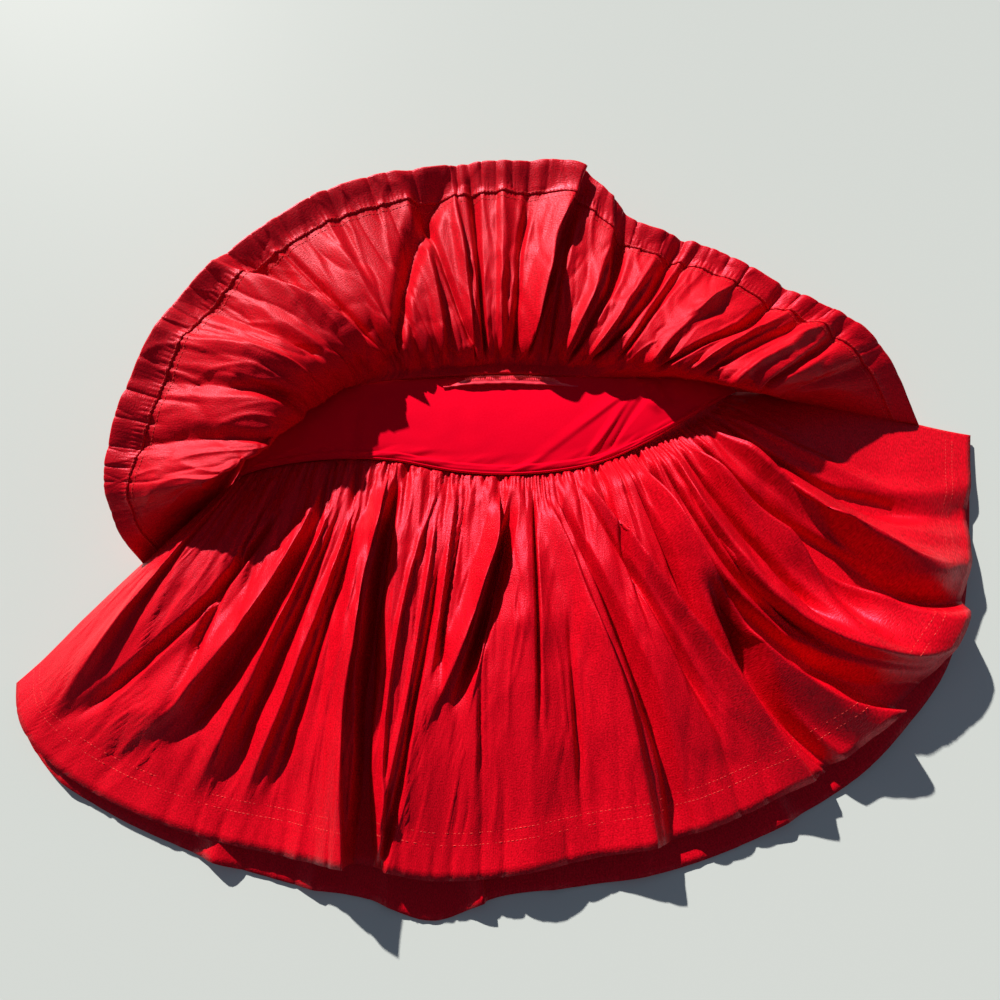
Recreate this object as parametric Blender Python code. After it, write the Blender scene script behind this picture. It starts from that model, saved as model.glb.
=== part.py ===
"""A two-tier mini skirt of gathered taffeta, laid on a table and seen from its hem.

The skirt lies on its back. A smooth yoke runs from the waist to the lower tier, and the upper tier is
gathered into the waist seam. The front half of the upper tier is turned up and back, wrong side out, so
that the yoke shows. Its back half lies under the skirt, on the table.

Every panel is a wall of cloth over a grid. The grid's columns run along a seam, from the left side seam
to the right one, and its rows run from that seam to the hem. Sizes below are in millimetres.
"""

from collections import namedtuple

import bmesh
import bpy
import numpy as np

MM = 0.001

# Cloth and seams
CLOTH = 1.4
SEAM_GAP = 0.4
LAYER_GAP = 0.3
HEM_DEPTH = 25.0
HEM_EXTRA = 0.8
YOKE_WELT = 5.5
WELT_RISE = 1.0
BAND_DEPTH = 35.0
BAND_TAPER = 0.95
ALLOWANCE_HEIGHT = 6.0
ALLOWANCE_FROM, ALLOWANCE_TO = 0.32, 0.84

YOKE_DEPTH = 70.0
LOWER_DEPTH = 240.0

# Heights of the layers, bottom to top. The yoke and the front tier stand on the air caught in the skirt.
UNDER_TIER_TOP = 1.5
BACK_PANEL_BOTTOM = 3.6
BACK_PANEL_SINKS = 1.0
SEAM_TOP = BACK_PANEL_BOTTOM + CLOTH
YOKE_LIFT = 12.0
WAIST_LIFT = 13.0
YOKE_DOME = 3.0
LEAST_LIFT = 7.0
BAND_TOP_LIFT = 1.5
BAND_RIB = 0.4

# How far the front panels take to roll up from the side seams, as a share of the seam, and how far the
# upper tier's side edges bulge
SIDE_ROLL = 0.12
SIDE_BULGE = 12.0
UPPER_SIDE_STEEP = 1.2

# Ripples of cloth gathered into a seam: how many, how high, and how far they reach from it as a share
Gathers = namedtuple("Gathers", "count height reach")
FRONT_GATHERS = Gathers(70, 2.2, 0.26)
BACK_GATHERS = Gathers(30, 0.9, 0.18)
UNDER_GATHERS = Gathers(30, 1.0, 0.30)
UNDER_WAVE = 0.5

# Soft unevenness between the larger folds
Ripples = namedtuple("Ripples", "count height")
LOWER_RIPPLES = Ripples(31, 1.2)
UPPER_RIPPLES = Ripples(29, 1.0)
BACK_RIPPLES = Ripples(12, 0.5)

# How high the lower tier's front is held over its back, from the seam to the hem
Lift = namedtuple("Lift", "row height")
LOWER_LIFT = (
    Lift(0.00, YOKE_LIFT),
    Lift(0.12, 17),
    Lift(0.30, 22),
    Lift(0.55, 22),
    Lift(0.80, 18),
    Lift(1.00, 13),
)

# Each row is one section of the skirt: where it crosses the waist seam, the yoke's lower seam, the front
# hem of the lower tier, how far the back hem shows past it, how far the turned-up tier rolls over the yoke,
# the turned-up hem, the crown of that cloth, and the hem of the half that lies under the skirt.
Section = namedtuple(
    "Section",
    "share waist_x waist_y seam_x seam_y low_x low_y past roll up_x up_y up_z crown under_x under_y",
)
SECTIONS = (
    Section(0.00, -158, 208, -180, 158, -300, 40, 0, 13, -226, 121, 2, 12, -226, 121),
    Section(0.06, -152, 213, -173, 164, -281, 6, 5, 19, -252, 152, 26, 14, -205, 98),
    Section(0.13, -139, 221, -159, 170, -243, -24, 7, 15, -246, 197, 46, 10, -180, 82),
    Section(0.21, -121, 228, -137, 175, -182, -48, 10, 6, -226, 246, 56, 7, -150, 70),
    Section(0.30, -94, 233, -107, 178, -120, -61, 15, 0, -188, 307, 55, 5, -112, 61),
    Section(0.40, -60, 236, -71, 177, -76, -66, 18, 0, -112, 370, 51, 3, -66, 56),
    Section(0.50, -22, 238, -28, 169, -34, -73, 22, 0, -34, 398, 50, 1, -25, 54),
    Section(0.57, 4, 239, 2, 167, 0, -71, 12, 0, 8, 400, 54, 1, 2, 53),
    Section(0.64, 32, 238, 34, 169, 50, -62, 15, 0, 54, 396, 59, 2, 36, 54),
    Section(0.71, 60, 238, 64, 175, 102, -52, 16, 0, 95, 350, 41, 5, 70, 57),
    Section(0.79, 87, 238, 92, 187, 160, -30, 16, 0, 148, 324, 42, 5, 110, 65),
    Section(0.87, 114, 239, 118, 202, 222, 8, 15, 1, 198, 290, 38, 6, 160, 84),
    Section(0.94, 137, 241, 143, 218, 285, 78, 8, 4, 250, 260, 26, 6, 225, 130),
    Section(1.00, 156, 244, 164, 233, 322, 205, 0, 7, 290, 230, 2, 10, 290, 230),
)

# Each row is one fold, a ridge or, with a height below zero, a trough. Its line runs from one share of
# the seam to one of the hem, and its two slopes are as wide as left and right say, as shares of the hem.
# It rises over the first rows past begin, and fades past end.
Fold = namedtuple("Fold", "seam hem left right height begin end")
LOWER_FOLDS = (
    Fold(0.12, 0.085, 0.030, 0.020, 8, 0.02, 1.2),
    Fold(0.19, 0.100, 0.020, 0.030, -7, 0.10, 1.1),
    Fold(0.32, 0.125, 0.040, 0.030, 9, 0.10, 1.2),
    Fold(0.36, 0.195, 0.018, 0.022, -8, 0.12, 1.1),
    Fold(0.37, 0.235, 0.022, 0.022, 6, 0.15, 1.2),
    Fold(0.385, 0.262, 0.018, 0.020, -6, 0.15, 1.1),
    Fold(0.375, 0.295, 0.025, 0.020, 6, 0.20, 1.2),
    Fold(0.372, 0.360, 0.050, 0.012, 12, 0.05, 1.4),
    Fold(0.403, 0.398, 0.016, 0.026, -14, 0.04, 1.3),
    Fold(0.440, 0.440, 0.022, 0.022, 7, 0.03, 1.2),
    Fold(0.480, 0.470, 0.020, 0.020, 5, 0.03, 1.2),
    Fold(0.570, 0.487, 0.035, 0.012, 9, 0.04, 0.9),
    Fold(0.585, 0.515, 0.012, 0.035, -13, 0.10, 0.70),
    Fold(0.600, 0.600, 0.045, 0.045, 5, 0.10, 1.3),
    Fold(0.598, 0.600, 0.010, 0.010, -3, 0.02, 0.65),
    Fold(0.640, 0.690, 0.035, 0.018, 6, 0.05, 1.1),
    Fold(0.655, 0.728, 0.016, 0.030, -7, 0.05, 1.0),
    Fold(0.700, 0.780, 0.040, 0.035, 5, 0.10, 1.2),
    Fold(0.765, 0.855, 0.040, 0.014, 12, 0.06, 1.3),
    Fold(0.780, 0.884, 0.018, 0.020, -10, 0.10, 1.2),
    Fold(0.800, 0.922, 0.022, 0.024, 9, 0.08, 1.2),
    Fold(0.870, 0.945, 0.018, 0.020, -6, 0.08, 1.1),
    Fold(0.915, 0.962, 0.020, 0.016, 6, 0.05, 1.1),
)
UPPER_FOLDS = (
    Fold(0.10, 0.085, 0.020, 0.020, -4, 0.10, 1.2),
    Fold(0.19, 0.135, 0.030, 0.022, 6, 0.10, 1.2),
    Fold(0.23, 0.170, 0.018, 0.022, -6, 0.05, 1.1),
    Fold(0.26, 0.212, 0.022, 0.022, 5, 0.08, 1.2),
    Fold(0.29, 0.255, 0.020, 0.022, -6, 0.06, 1.1),
    Fold(0.33, 0.292, 0.024, 0.024, 6, 0.06, 1.2),
    Fold(0.36, 0.328, 0.018, 0.022, -8, 0.05, 1.1),
    Fold(0.42, 0.380, 0.026, 0.026, 6, 0.08, 1.2),
    Fold(0.46, 0.435, 0.022, 0.030, -7, 0.20, 1.2),
    Fold(0.50, 0.475, 0.024, 0.018, 5, 0.08, 1.2),
    Fold(0.535, 0.520, 0.016, 0.020, -7, 0.05, 1.1),
    Fold(0.59, 0.562, 0.022, 0.026, 5, 0.05, 1.1),
    Fold(0.62, 0.600, 0.018, 0.018, -4, 0.08, 1.1),
    Fold(0.645, 0.640, 0.028, 0.014, 11, 0.05, 1.3),
    Fold(0.685, 0.700, 0.018, 0.024, -8, 0.05, 1.2),
    Fold(0.715, 0.730, 0.018, 0.016, 5, 0.05, 1.2),
    Fold(0.745, 0.755, 0.016, 0.020, -7, 0.05, 1.0),
    Fold(0.800, 0.800, 0.028, 0.022, 5, 0.05, 1.2),
    Fold(0.860, 0.845, 0.018, 0.022, -6, 0.05, 1.1),
    Fold(0.900, 0.875, 0.020, 0.020, 4, 0.05, 1.2),
    Fold(0.930, 0.910, 0.016, 0.020, -6, 0.05, 1.1),
    Fold(0.960, 0.945, 0.018, 0.016, 3, 0.05, 1.1),
)
BACK_FOLDS = (
    Fold(0.20, 0.235, 0.020, 0.030, 7, 0.70, 1.3),
    Fold(0.30, 0.330, 0.030, 0.030, 4, 0.70, 1.3),
    Fold(0.50, 0.545, 0.030, 0.012, 10, 0.70, 1.3),
    Fold(0.66, 0.680, 0.030, 0.030, 5, 0.70, 1.3),
    Fold(0.75, 0.790, 0.035, 0.020, 6, 0.70, 1.3),
)

# Rows of each panel's grid, as shares of the way from the seam to the hem. The back of the lower tier
# comes down to the table between two of its rows, and the hems start at a row.
SINKS_TO_ROW, ON_TABLE_ROW = 0.66, 0.82
UPPER_HEM_ROW = 0.86
LOWER_HEM_ROW = 1 - HEM_DEPTH / LOWER_DEPTH
LOWER_ROWS = (0.0, 0.05, 0.14, 0.27, 0.43, 0.60, 0.78, LOWER_HEM_ROW - 0.005, LOWER_HEM_ROW + 0.005, 1.0)
UPPER_ROWS = (0.0, 0.06, 0.18, 0.36, 0.60, UPPER_HEM_ROW - 0.005, UPPER_HEM_ROW + 0.005, 1.0)
BACK_ROWS = (0.0, 0.10, 0.30, SINKS_TO_ROW, ON_TABLE_ROW, 1.0)
UNDER_ROWS = (0.0, 0.15, 0.50, 1.0)
WELT_ROW = YOKE_WELT / YOKE_DEPTH
YOKE_ROWS = (0.0, WELT_ROW, WELT_ROW + 0.015, 0.35, 0.70, 1.0)
YOKE_BACK_ROWS = (0.0, 0.5, 1.0)
BAND_ROWS = (0.0, 0.40, 1.0)
ALLOWANCE_ROWS = (0.0, 1.0)
PLAIN_COLUMNS = 46

TAFFETA = dict(base_color=(0.78, 0.004, 0.03), roughness=0.42)
JERSEY = dict(base_color=(0.85, 0.0, 0.04), roughness=0.85)
THREAD = dict(base_color=(0.88, 0.05, 0.12), roughness=0.7)


def column_of(name):
    """One column of the section table."""
    return np.array([getattr(section, name) for section in SECTIONS], float)


def along(share, name):
    """A column of the section table, read at these shares of the seam as a smooth cubic."""
    knots, values = column_of("share"), column_of(name)
    slopes = np.gradient(values, knots)
    at = np.clip(np.searchsorted(knots, share, side="right") - 1, 0, len(knots) - 2)
    step = knots[at + 1] - knots[at]
    t = (share - knots[at]) / step
    start = values[at] * (1 + 2 * t) * (1 - t) ** 2 + values[at + 1] * (3 - 2 * t) * t**2
    turn = slopes[at] * t * (1 - t) ** 2 - slopes[at + 1] * t**2 * (1 - t)
    return start + turn * step


def edge(share, name):
    """The line in plan that a pair of columns, such as seam_x and seam_y, draws."""
    return np.stack([along(share, name + "_x"), along(share, name + "_y")], axis=-1)


def between(start, end, row, gap=0.0):
    """Points in plan from one edge to another. The gap is left free at the first edge."""
    run = end - start
    length = np.linalg.norm(run, axis=-1, keepdims=True)
    first = start + run / length * gap
    return first + (end - first) * row[..., None]


def side_rise(share):
    """How far a front panel has rolled up from the side seams: 0 on them and 1 inside."""
    inwards = np.clip(np.minimum(share, 1 - share) / SIDE_ROLL, 0, 1)
    return 1 - (1 - inwards) ** 2


def ease(x):
    """A smooth step from 0 to 1."""
    x = np.clip(x, 0, 1)
    return x * x * (3 - 2 * x)


def folds(table, share, row):
    """The height that a table's ridges and troughs add at these grid points."""
    height = np.zeros_like(share)
    for fold in table:
        middle = fold.seam + (fold.hem - fold.seam) * row
        away = share - middle
        slope = np.where(away < 0, fold.left, fold.right) * (0.35 + 0.65 * row)
        profile = 0.5 + 0.5 * np.cos(np.pi * np.clip(away / slope, -1, 1))
        strength = ease((row - fold.begin) / 0.25) * (1 - ease((row - fold.end) / 0.3))
        height += fold.height * profile * strength
    return height


def gathered(gathers, share, row):
    """The height of the ripples, one to every two columns of the grid, uneven in height and in length."""
    index = np.rint(share * 2 * gathers.count)
    pair = index // 2
    uneven = 1 + 0.25 * np.sin(2.4 * pair)
    length = gathers.reach * (1 + 0.45 * np.sin(1.7 * pair + 0.6))
    return gathers.height * uneven * (1 - index % 2) * np.exp(-((row / length) ** 2))


def rippled(ripples, share, row):
    """The height of the unevenness, strongest halfway down."""
    wander = 1.3 * np.sin(9 * share + 2.5 * row) + 0.8 * np.sin(23 * share - 1.5 * row)
    return ripples.height * np.sin(2 * np.pi * ripples.count * share + wander) * 4 * row * (1 - row)


def back_panel_top(share, row):
    """The top of the lower tier's back, which comes down to the table past the hem of the tier below it."""
    lies_on_table = 1 - ease((share - 0.82) / 0.10)
    sunk = np.interp(row, (0, SINKS_TO_ROW), (0, BACK_PANEL_SINKS))
    left = BACK_PANEL_BOTTOM - BACK_PANEL_SINKS
    laid = np.interp(row, (SINKS_TO_ROW, ON_TABLE_ROW), (0, left)) * lies_on_table
    return BACK_PANEL_BOTTOM + CLOTH - sunk - laid


def waist_top(share):
    """The top of the yoke along the waist seam."""
    return SEAM_TOP + LAYER_GAP + side_rise(share) * WAIST_LIFT + CLOTH


def lower_tier_front(share, row):
    plan = between(edge(share, "seam"), edge(share, "low"), row, SEAM_GAP)
    lift = np.interp(row, [lift.row for lift in LOWER_LIFT], [lift.height for lift in LOWER_LIFT])
    form = folds(LOWER_FOLDS, share, row) + rippled(LOWER_RIPPLES, share, row)
    form += gathered(FRONT_GATHERS, share, row)
    rise = side_rise(share)
    lowest = back_panel_top(share, 0.92 * row) + LAYER_GAP
    bottom = lowest + rise * np.maximum(lift + form, LEAST_LIFT)
    hem = HEM_EXTRA * (row > LOWER_HEM_ROW) * rise
    return plan, bottom + CLOTH + hem, CLOTH + hem


def lower_tier_back(share, row):
    start, end = edge(share, "seam"), edge(share, "low")
    out = (end - start) / np.linalg.norm(end - start, axis=-1, keepdims=True)
    past = along(share, "past")[..., None]
    plan = between(start, end + out * past, row, SEAM_GAP)
    form = folds(BACK_FOLDS, share, row) + rippled(BACK_RIPPLES, share, row)
    form += gathered(BACK_GATHERS, share, row)
    top = back_panel_top(share, row) + side_rise(share) * np.maximum(form, 0)
    return plan, top, np.full_like(top, CLOTH)


def yoke_front(share, row):
    plan = between(edge(share, "seam"), edge(share, "waist"), row * (1 - SEAM_GAP / YOKE_DEPTH))
    rise = side_rise(share)
    lift = YOKE_LIFT + (WAIST_LIFT - YOKE_LIFT) * row + YOKE_DOME * 4 * row * (1 - row)
    welt = WELT_RISE * (row < WELT_ROW + 0.005) * rise
    bottom = SEAM_TOP + LAYER_GAP + rise * lift
    return plan, bottom + CLOTH + welt, CLOTH + welt


def yoke_back(share, row):
    plan = between(edge(share, "seam"), edge(share, "waist"), row * (1 - SEAM_GAP / YOKE_DEPTH))
    top = np.full_like(row, SEAM_TOP)
    return plan, top, np.full_like(top, CLOTH)


def waistband_plan(share, row):
    waist = edge(share, "waist")
    top_edge = waist * (BAND_TAPER, 1) + (0, BAND_DEPTH)
    return between(waist, top_edge, row)


def band_ribs(share, row):
    """Fine ribs where the band's elastic draws it in, none on its seam."""
    return BAND_RIB * (1 - np.rint(share * PLAIN_COLUMNS) % 2) * (row > 0)


def waistband_back(share, row):
    bottom = BACK_PANEL_BOTTOM * (1 - ease(row / BAND_ROWS[1]))
    ribs = band_ribs(share, row)
    return waistband_plan(share, row), bottom + CLOTH + ribs, CLOTH + ribs


def waistband_front(share, row):
    back_top = BACK_PANEL_BOTTOM * (1 - ease(row / BAND_ROWS[1])) + CLOTH + BAND_RIB * (row > 0)
    lift = side_rise(share) * (WAIST_LIFT * (1 - row) ** 1.5 + BAND_TOP_LIFT * row)
    ribs = band_ribs(share, row)
    top = back_top + LAYER_GAP + lift + CLOTH + ribs
    return waistband_plan(share, row), top, CLOTH + ribs


def towards_yoke(share):
    """The direction in plan from the waist seam to the yoke's lower seam."""
    run = edge(share, "seam") - edge(share, "waist")
    return run / np.linalg.norm(run, axis=-1, keepdims=True)


def upper_tier_plan(share, row, hem):
    """Both halves roll over the yoke at the waist seam's ends, and their side edges bulge the same way."""
    start = edge(share, "waist") + towards_yoke(share) * along(share, "roll")[..., None]
    end = edge(share, hem)
    run = (end - start) / np.linalg.norm(end - start, axis=-1, keepdims=True)
    outwards = np.stack([run[..., 1], -run[..., 0]], axis=-1) * np.where(share < 0.5, -1, 1)[..., None]
    bulge = SIDE_BULGE * 4 * row * (1 - row) * (1 - ease(np.minimum(share, 1 - share) / 0.12))
    return between(start, end, row) + outwards * bulge[..., None]


def upper_tier_front(share, row):
    """The turned-up half: its wrong side is up, and its hem allowance lies on that side."""
    plan = upper_tier_plan(share, row, "up")
    start = waist_top(share) + LAYER_GAP + 0.15 * along(share, "roll")
    end = along(share, "up_z")
    height = start + (end - start) * row**0.6 + along(share, "crown") * 4 * row * (1 - row)
    form = folds(UPPER_FOLDS, share, row) + rippled(UPPER_RIPPLES, share, row)
    form = side_rise(share) * form + gathered(FRONT_GATHERS, share, row) * ease(row / 0.04 + 0.4)
    over_skirt = UNDER_TIER_TOP + LAYER_GAP + 4 * (1 - row)
    bottom = np.maximum(height + form, over_skirt)
    steep = 1 + UPPER_SIDE_STEEP * (1 - np.clip(np.minimum(share, 1 - share) / SIDE_ROLL, 0, 1))
    hem = HEM_EXTRA * (row > UPPER_HEM_ROW)
    return plan, bottom + CLOTH * steep + hem, CLOTH * steep + hem


def upper_tier_back(share, row):
    """The half on the table: flat below, with low gathers on its upper side."""
    plan = upper_tier_plan(share, row, "under")
    wave = UNDER_WAVE * ease(row) * (np.rint(share * 2 * UNDER_GATHERS.count) % 2)
    form = gathered(UNDER_GATHERS, share, row) + wave
    top = UNDER_TIER_TOP + side_rise(share) * form
    return plan, top, top


def waist_seam_allowance(share, row):
    """The overlocked edge of the waist seam, standing on the yoke in front of the turned-up tier."""
    share = ALLOWANCE_FROM + (ALLOWANCE_TO - ALLOWANCE_FROM) * share
    plan = edge(share, "waist") + towards_yoke(share) * (0.8 + (0.8 + CLOTH) * row)[..., None]
    bottom = waist_top(share) + LAYER_GAP + 0.9
    end_taper = ease(np.minimum(share - ALLOWANCE_FROM, ALLOWANCE_TO - share) / 0.05)
    height = 1.5 + (ALLOWANCE_HEIGHT - 1.5) * end_taper
    return plan, bottom + height, height


def material(name, base_color, roughness):
    made = bpy.data.materials.new(name)
    made.use_nodes = True
    shader = made.node_tree.nodes["Principled BSDF"]
    shader.inputs["Base Color"].default_value = (*base_color, 1)
    shader.inputs["Roughness"].default_value = roughness
    shader.inputs["Metallic"].default_value = 0.0
    return made


def cloth_wall(name, surface, columns, rows, finish, collection):
    """A closed wall of cloth. The surface gives each grid point's place in plan, its top and its depth."""
    mesh = bmesh.new()
    bmesh.ops.create_grid(mesh, x_segments=columns, y_segments=len(rows) - 1, size=1.0)
    corners = np.array([vertex.co for vertex in mesh.verts])
    share = (corners[:, 0] + 1) / 2
    row = np.interp((corners[:, 1] + 1) / 2, np.linspace(0, 1, len(rows)), rows)
    plan, top, depth = surface(share, row)
    for vertex, place, height in zip(mesh.verts, plan, top):
        vertex.co = (*(place * MM), height * MM)
    mesh.verts.index_update()
    bmesh.ops.triangulate(mesh, faces=mesh.faces[:])
    upper = list(mesh.verts)
    copied = bmesh.ops.duplicate(mesh, geom=mesh.faces[:])
    lower_of = {old: new for old, new in copied["vert_map"].items() if old in set(upper)}
    lower_faces = [item for item in copied["geom"] if isinstance(item, bmesh.types.BMFace)]
    for vertex, drop in zip(upper, depth):
        lower_of[vertex].co.z -= drop * MM
    bmesh.ops.reverse_faces(mesh, faces=lower_faces)
    rims = [item for item in mesh.edges if item.is_boundary]
    bmesh.ops.bridge_loops(mesh, edges=rims)
    bmesh.ops.recalc_face_normals(mesh, faces=mesh.faces)
    data = bpy.data.meshes.new(name)
    mesh.to_mesh(data)
    mesh.free()
    data.materials.append(finish)
    wall = bpy.data.objects.new(name, data)
    collection.objects.link(wall)
    return wall


def centre_on_origin(walls):
    """Moves the skirt so that the middle of its box is over the origin and its underside is at zero."""
    corners = np.array([vertex.co for wall in walls for vertex in wall.data.vertices])
    low, high = corners.min(0), corners.max(0)
    shift = (-(low[0] + high[0]) / 2, -(low[1] + high[1]) / 2, -low[2])
    for wall in walls:
        for vertex in wall.data.vertices:
            vertex.co.x += shift[0]
            vertex.co.y += shift[1]
            vertex.co.z += shift[2]
    print("skirt spans", high - low, "and moved by", shift)


def build():
    for item in list(bpy.data.objects):
        bpy.data.objects.remove(item)
    skirt = bpy.data.collections.new("tiered_mini_skirt")
    bpy.context.scene.collection.children.link(skirt)
    taffeta = material("taffeta", **TAFFETA)
    jersey = material("jersey", **JERSEY)
    thread = material("overlock_thread", **THREAD)
    front, back, plain = 2 * FRONT_GATHERS.count, 2 * BACK_GATHERS.count, PLAIN_COLUMNS
    panels = (
        ("upper_tier_back", upper_tier_back, back, UNDER_ROWS, taffeta),
        ("upper_tier_front", upper_tier_front, front, UPPER_ROWS, taffeta),
        ("lower_tier_back", lower_tier_back, back, BACK_ROWS, taffeta),
        ("lower_tier_front", lower_tier_front, front, LOWER_ROWS, taffeta),
        ("yoke_back", yoke_back, plain, YOKE_BACK_ROWS, jersey),
        ("yoke_front", yoke_front, plain, YOKE_ROWS, jersey),
        ("waistband_back", waistband_back, plain, BAND_ROWS, taffeta),
        ("waistband_front", waistband_front, plain, BAND_ROWS, taffeta),
        ("waist_seam_allowance", waist_seam_allowance, plain, ALLOWANCE_ROWS, thread),
    )
    walls = [cloth_wall(*panel, skirt) for panel in panels]
    centre_on_origin(walls)


build()
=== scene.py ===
# %% [markdown]
# # A tiered mini skirt laid on a table
#
# The skirt lies on its back and the camera looks down at it from its hem. Two tiers of taffeta are
# gathered into straight seams, so almost everything that shows is folds: fine pleats at the seams, which
# run together into wide soft folds towards the hems.
#
# Each panel is drawn as a grid. Its columns run along a seam and its rows run from that seam to the hem.
# A fold is then only a change of height along one line of that grid, which keeps cloth, stitches and
# weave together. Sizes are in millimetres and are turned into metres once, when a mesh is made.

import math
from collections import namedtuple

import bpy
import numpy as np
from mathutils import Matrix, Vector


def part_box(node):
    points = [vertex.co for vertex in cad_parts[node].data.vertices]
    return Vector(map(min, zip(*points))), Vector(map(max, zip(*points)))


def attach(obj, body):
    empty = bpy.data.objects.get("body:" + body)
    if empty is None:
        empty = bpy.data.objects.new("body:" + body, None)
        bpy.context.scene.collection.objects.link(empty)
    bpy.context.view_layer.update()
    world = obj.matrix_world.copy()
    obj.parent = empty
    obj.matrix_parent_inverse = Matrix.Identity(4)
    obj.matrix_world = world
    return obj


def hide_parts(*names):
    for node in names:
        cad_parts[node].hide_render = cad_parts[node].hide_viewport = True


MM = 0.001
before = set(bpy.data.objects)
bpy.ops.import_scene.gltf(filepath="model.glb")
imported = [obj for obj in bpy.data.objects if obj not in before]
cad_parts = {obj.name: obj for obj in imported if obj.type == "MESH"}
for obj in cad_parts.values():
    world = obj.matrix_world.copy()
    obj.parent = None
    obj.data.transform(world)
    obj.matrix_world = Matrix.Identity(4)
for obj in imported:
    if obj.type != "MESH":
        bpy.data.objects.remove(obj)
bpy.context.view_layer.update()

# %% [markdown]
# ## The pattern of the laid skirt
#
# Fifteen sections cross the skirt from its left side seam to its right one. Each row says where that
# section meets the waist seam, the yoke's lower seam and the hems, seen from above. The turned-up tier
# fans out backwards from the waist, and the lower tier fans out forwards from the yoke. Reading the
# columns as smooth curves gives every seam and hem line of the skirt from one short table.

# %% Sections of the skirt
Section = namedtuple(
    "Section",
    "share waist_x waist_y seam_x seam_y low_x low_y past "
    "roll_row roll_x roll_y roll_z roll_rise up_x up_y up_z under_x under_y",
)
SECTIONS = (
    (0.00, -158, 208, -180, 158, -300, 40, 0, 0.20, -184, 160, 2.4, 0, -229, 108, 2, -228, 107),
    (0.03, -155, 210, -177, 161, -292, 22, 3, 0.26, -183, 151, 37, 6, -237, 124, 22, -216, 99),
    (0.06, -152, 213, -173, 164, -281, 6, 5, 0.30, -178, 147, 55, 10, -240, 142, 36, -205, 92),
    (0.13, -139, 221, -159, 170, -243, -24, 7, 0.27, -145, 171, 54, 20, -238, 180, 50, -180, 82),
    (0.21, -121, 228, -137, 175, -182, -48, 10, 0.18, -121, 209, 38, 190, -218, 243, 60, -150, 70),
    (0.30, -94, 233, -107, 178, -120, -61, 15, 0.12, -92, 234, 29, 170, -182, 304, 56, -112, 61),
    (0.40, -60, 236, -71, 177, -76, -66, 18, 0.08, -57, 243, 24, 110, -112, 364, 50, -66, 56),
    (0.50, -22, 238, -28, 169, -34, -73, 22, 0.07, -22, 246, 21, 90, -34, 386, 46, -25, 54),
    (0.57, 4, 239, 2, 167, 0, -71, 12, 0.07, 4, 248, 21, 90, 8, 387, 48, 2, 53),
    (0.64, 32, 238, 34, 169, 50, -62, 15, 0.08, 33, 246, 22, 90, 54, 382, 50, 36, 54),
    (0.71, 60, 238, 64, 175, 102, -52, 16, 0.10, 63, 243, 27, 90, 92, 346, 40, 70, 57),
    (0.79, 87, 238, 92, 187, 160, -30, 16, 0.12, 98, 237, 36, 80, 146, 320, 40, 110, 65),
    (0.87, 114, 239, 118, 202, 222, 8, 15, 0.16, 130, 227, 45, 60, 196, 287, 40, 160, 84),
    (0.94, 137, 241, 143, 218, 285, 78, 8, 0.24, 170, 215, 46, 40, 250, 254, 34, 225, 130),
    (1.00, 156, 244, 164, 233, 322, 205, 0, 0.30, 208, 226, 3, 0, 291, 205, 2, 291, 204),
)
SECTIONS = [Section(*row) for row in SECTIONS]
KNOTS = np.array([section.share for section in SECTIONS])

# The drawing's yoke corner and the same corner in the frame say where the drawing lies.
yoke_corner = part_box("yoke_back")[0]
DRAWING_X = yoke_corner[0] / MM - SECTIONS[0].seam_x
DRAWING_Y = yoke_corner[1] / MM - SECTIONS[0].seam_y
print(f"the drawing is moved by {DRAWING_X:.1f}, {DRAWING_Y:.1f} mm")

# %% Read the table as smooth curves


def along(share, name):
    """A column of the table, read at these shares of the seam as a smooth cubic."""
    values = np.array([getattr(section, name) for section in SECTIONS], float)
    slopes = np.gradient(values, KNOTS)
    at = np.clip(np.searchsorted(KNOTS, share, side="right") - 1, 0, len(KNOTS) - 2)
    step = KNOTS[at + 1] - KNOTS[at]
    t = (share - KNOTS[at]) / step
    start = values[at] * (1 + 2 * t) * (1 - t) ** 2 + values[at + 1] * (3 - 2 * t) * t**2
    turn = slopes[at] * t * (1 - t) ** 2 - slopes[at + 1] * t**2 * (1 - t)
    return start + turn * step


def edge(share, name):
    """The line in plan that a pair of columns, such as seam_x and seam_y, draws."""
    return np.stack([along(share, name + "_x"), along(share, name + "_y")], axis=-1)


def unit(vectors):
    return vectors / np.maximum(np.linalg.norm(vectors, axis=-1, keepdims=True), 1e-9)


def between(start, end, row, gap=0.0):
    """Points in plan from one edge to another, leaving a gap at the first edge."""
    first = start + unit(end - start) * gap
    return first + (end - first) * row[..., None]


def ease(x):
    """A smooth step from 0 to 1."""
    x = np.clip(x, 0, 1)
    return x * x * (3 - 2 * x)


def line_length(points):
    """The length of a polyline, in millimetres."""
    return float(np.linalg.norm(np.diff(points, axis=0), axis=1).sum())


shares = np.linspace(0, 1, 400)
SEAM_LENGTH = line_length(edge(shares, "seam"))
WAIST_LENGTH = line_length(edge(shares, "waist"))
LOW_LENGTH = line_length(edge(shares, "low"))
UP_LENGTH = line_length(edge(shares, "up"))
print(f"waist {WAIST_LENGTH:.0f} mm and yoke seam {SEAM_LENGTH:.0f} mm")
print(f"lower hem {LOW_LENGTH:.0f} mm and upper hem {UP_LENGTH:.0f} mm")

# %% [markdown]
# ## Heights of the layers
#
# Cloth on a table is a stack: the back half of the upper tier, the back of the skirt, the air caught
# inside, the front of the skirt, and the turned-up tier. Keeping one height for each layer, worked out from
# the layer below it, means that no fold can cut through its neighbour.

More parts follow.
